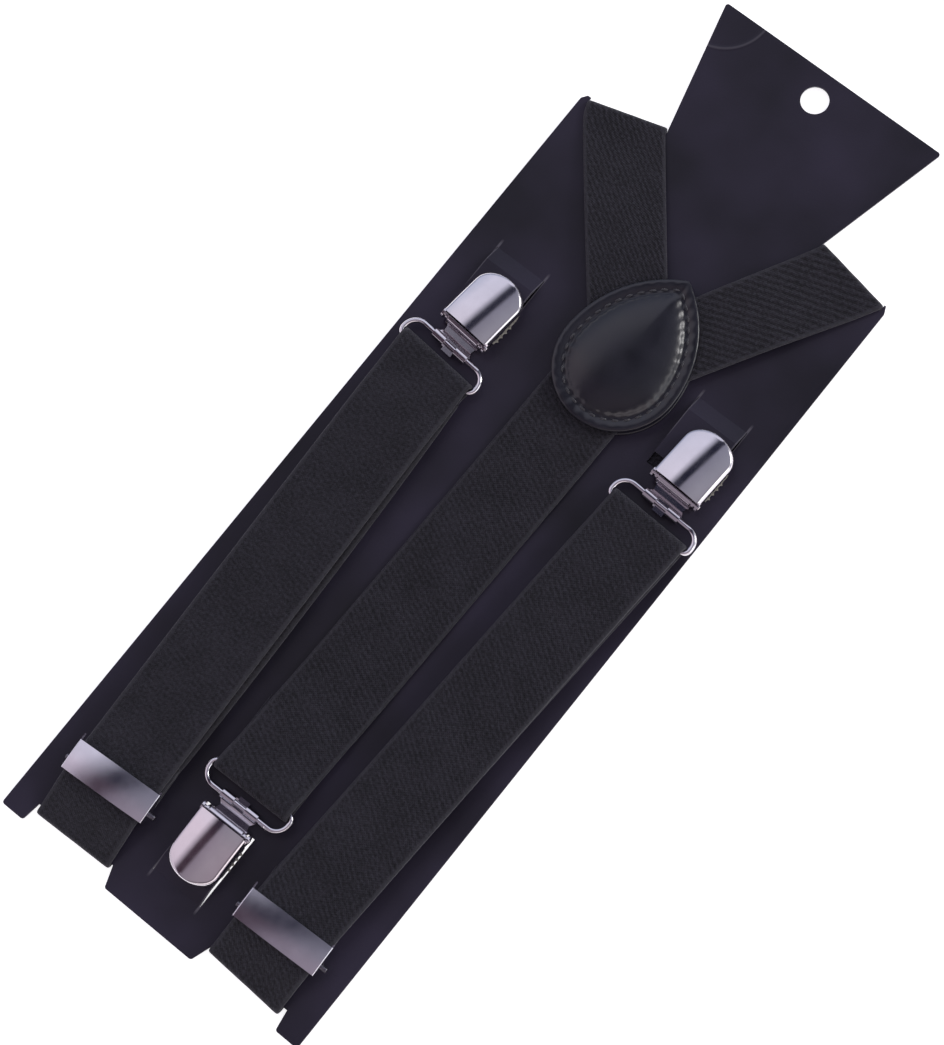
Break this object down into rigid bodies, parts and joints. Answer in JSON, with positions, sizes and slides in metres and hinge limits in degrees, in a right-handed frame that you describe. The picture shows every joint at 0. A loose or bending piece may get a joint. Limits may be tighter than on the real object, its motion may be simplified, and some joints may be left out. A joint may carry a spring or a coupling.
{
  "type": "suspenders",
  "caption": "Y-back suspenders of flat elastic webbing with clip ends, slide adjusters and a teardrop yoke, wound round a hanging display card.",
  "frame": {"origin": "under the middle of the assembly, on the surface that it lies on", "axes": "+Y up the card towards its hang tab, +X to the right across the card's face, +Z out of the card's face"},
  "size_m": [0.1042, 0.296, 0.0091],
  "materials": {
    "card": "coated card, satin",
    "leather": "gloss",
    "foam": "matt",
    "thread": "satin",
    "webbing": "fine diagonal rib",
    "nickel": "bright nickel plate",
    "pad": "matt"
  },
  "bodies": {
    "carded_straps": {"display_card": "card", "yoke_back_patch": "leather", "yoke_front_patch": "leather", "yoke_padding": "foam", "yoke_stitching": "thread", "left_front_strap": "webbing", "right_front_strap": "webbing", "back_strap": "webbing", "left_strap_return": "webbing", "right_strap_return": "webbing", "left_clip_base": "nickel", "left_clip_pad": "pad", "left_clip_pin": "nickel", "right_clip_base": "nickel", "right_clip_pad": "pad", "right_clip_pin": "nickel", "back_clip_base": "nickel", "back_clip_pad": "pad", "back_clip_pin": "nickel"},
    "left_clip_lever_body": {"left_clip_lever": "nickel"},
    "left_clip_jaw_body": {"left_clip_jaw": "nickel"},
    "left_clip_bail_body": {"left_clip_bail": "nickel"},
    "right_clip_lever_body": {"right_clip_lever": "nickel"},
    "right_clip_jaw_body": {"right_clip_jaw": "nickel"},
    "right_clip_bail_body": {"right_clip_bail": "nickel"},
    "back_clip_lever_body": {"back_clip_lever": "nickel"},
    "back_clip_jaw_body": {"back_clip_jaw": "nickel"},
    "back_clip_bail_body": {"back_clip_bail": "nickel"},
    "left_slider_body": {"left_slider_frame": "nickel", "left_slider_axle": "nickel", "left_strap_end_loop": "webbing"},
    "right_slider_body": {"right_slider_frame": "nickel", "right_slider_axle": "nickel", "right_strap_end_loop": "webbing"}
  },
  "joints": [
    {"name": "left_clip_lever_hinge", "type": "hinge", "parent": "carded_straps", "child": "left_clip_lever_body", "pos_m": [-0.0347, 0.0296, 0.0051], "axis": [0.9959, -0.0906, 0], "range_deg": [0, 100]},
    {"name": "left_clip_jaw_hinge", "type": "hinge", "parent": "carded_straps", "child": "left_clip_jaw_body", "pos_m": [-0.0347, 0.0296, 0.0051], "axis": [0.9959, -0.0906, 0], "range_deg": [0, 9]},
    {"name": "left_clip_bail_pivot", "type": "hinge", "parent": "carded_straps", "child": "left_clip_bail_body", "pos_m": [-0.03522, 0.02382, 0.0042], "axis": [0.9959, -0.0906, 0], "range_deg": [-2, 2]},
    {"name": "right_clip_lever_hinge", "type": "hinge", "parent": "carded_straps", "child": "right_clip_lever_body", "pos_m": [0.03823, 0.0297, 0.0051], "axis": [0.999, -0.0454, 0], "range_deg": [0, 100]},
    {"name": "right_clip_jaw_hinge", "type": "hinge", "parent": "carded_straps", "child": "right_clip_jaw_body", "pos_m": [0.03823, 0.0297, 0.0051], "axis": [0.999, -0.0454, 0], "range_deg": [0, 9]},
    {"name": "right_clip_bail_pivot", "type": "hinge", "parent": "carded_straps", "child": "right_clip_bail_body", "pos_m": [0.03796, 0.0239, 0.0042], "axis": [0.999, -0.0454, 0], "range_deg": [-2, 2]},
    {"name": "back_clip_lever_hinge", "type": "hinge", "parent": "carded_straps", "child": "back_clip_lever_body", "pos_m": [0.00011, -0.1144, 0.0051], "axis": [-0.9999, -0.0157, 0], "range_deg": [0, 100]},
    {"name": "back_clip_jaw_hinge", "type": "hinge", "parent": "carded_straps", "child": "back_clip_jaw_body", "pos_m": [0.00011, -0.1144, 0.0051], "axis": [-0.9999, -0.0157, 0], "range_deg": [0, 9]},
    {"name": "back_clip_bail_pivot", "type": "hinge", "parent": "carded_straps", "child": "back_clip_bail_body", "pos_m": [0.00002, -0.1086, 0.0042], "axis": [-0.9999, -0.0157, 0], "range_deg": [-2, 2]},
    {"name": "left_slider_slide", "type": "slide", "parent": "carded_straps", "child": "left_slider_body", "axis": [-0.0336, 0.9994, 0], "range_m": [0, 0.118], "deforming": ["left_strap_return"]},
    {"name": "right_slider_slide", "type": "slide", "parent": "carded_straps", "child": "right_slider_body", "axis": [0.0479, 0.9989, 0], "range_m": [0, 0.12], "deforming": ["right_strap_return"]}
  ],
  "couplings": [
    {"joint": "left_clip_jaw_hinge", "follows": "left_clip_lever_hinge", "ratio": 0.09},
    {"joint": "right_clip_jaw_hinge", "follows": "right_clip_lever_hinge", "ratio": 0.09},
    {"joint": "back_clip_jaw_hinge", "follows": "back_clip_lever_hinge", "ratio": 0.09}
  ]
}
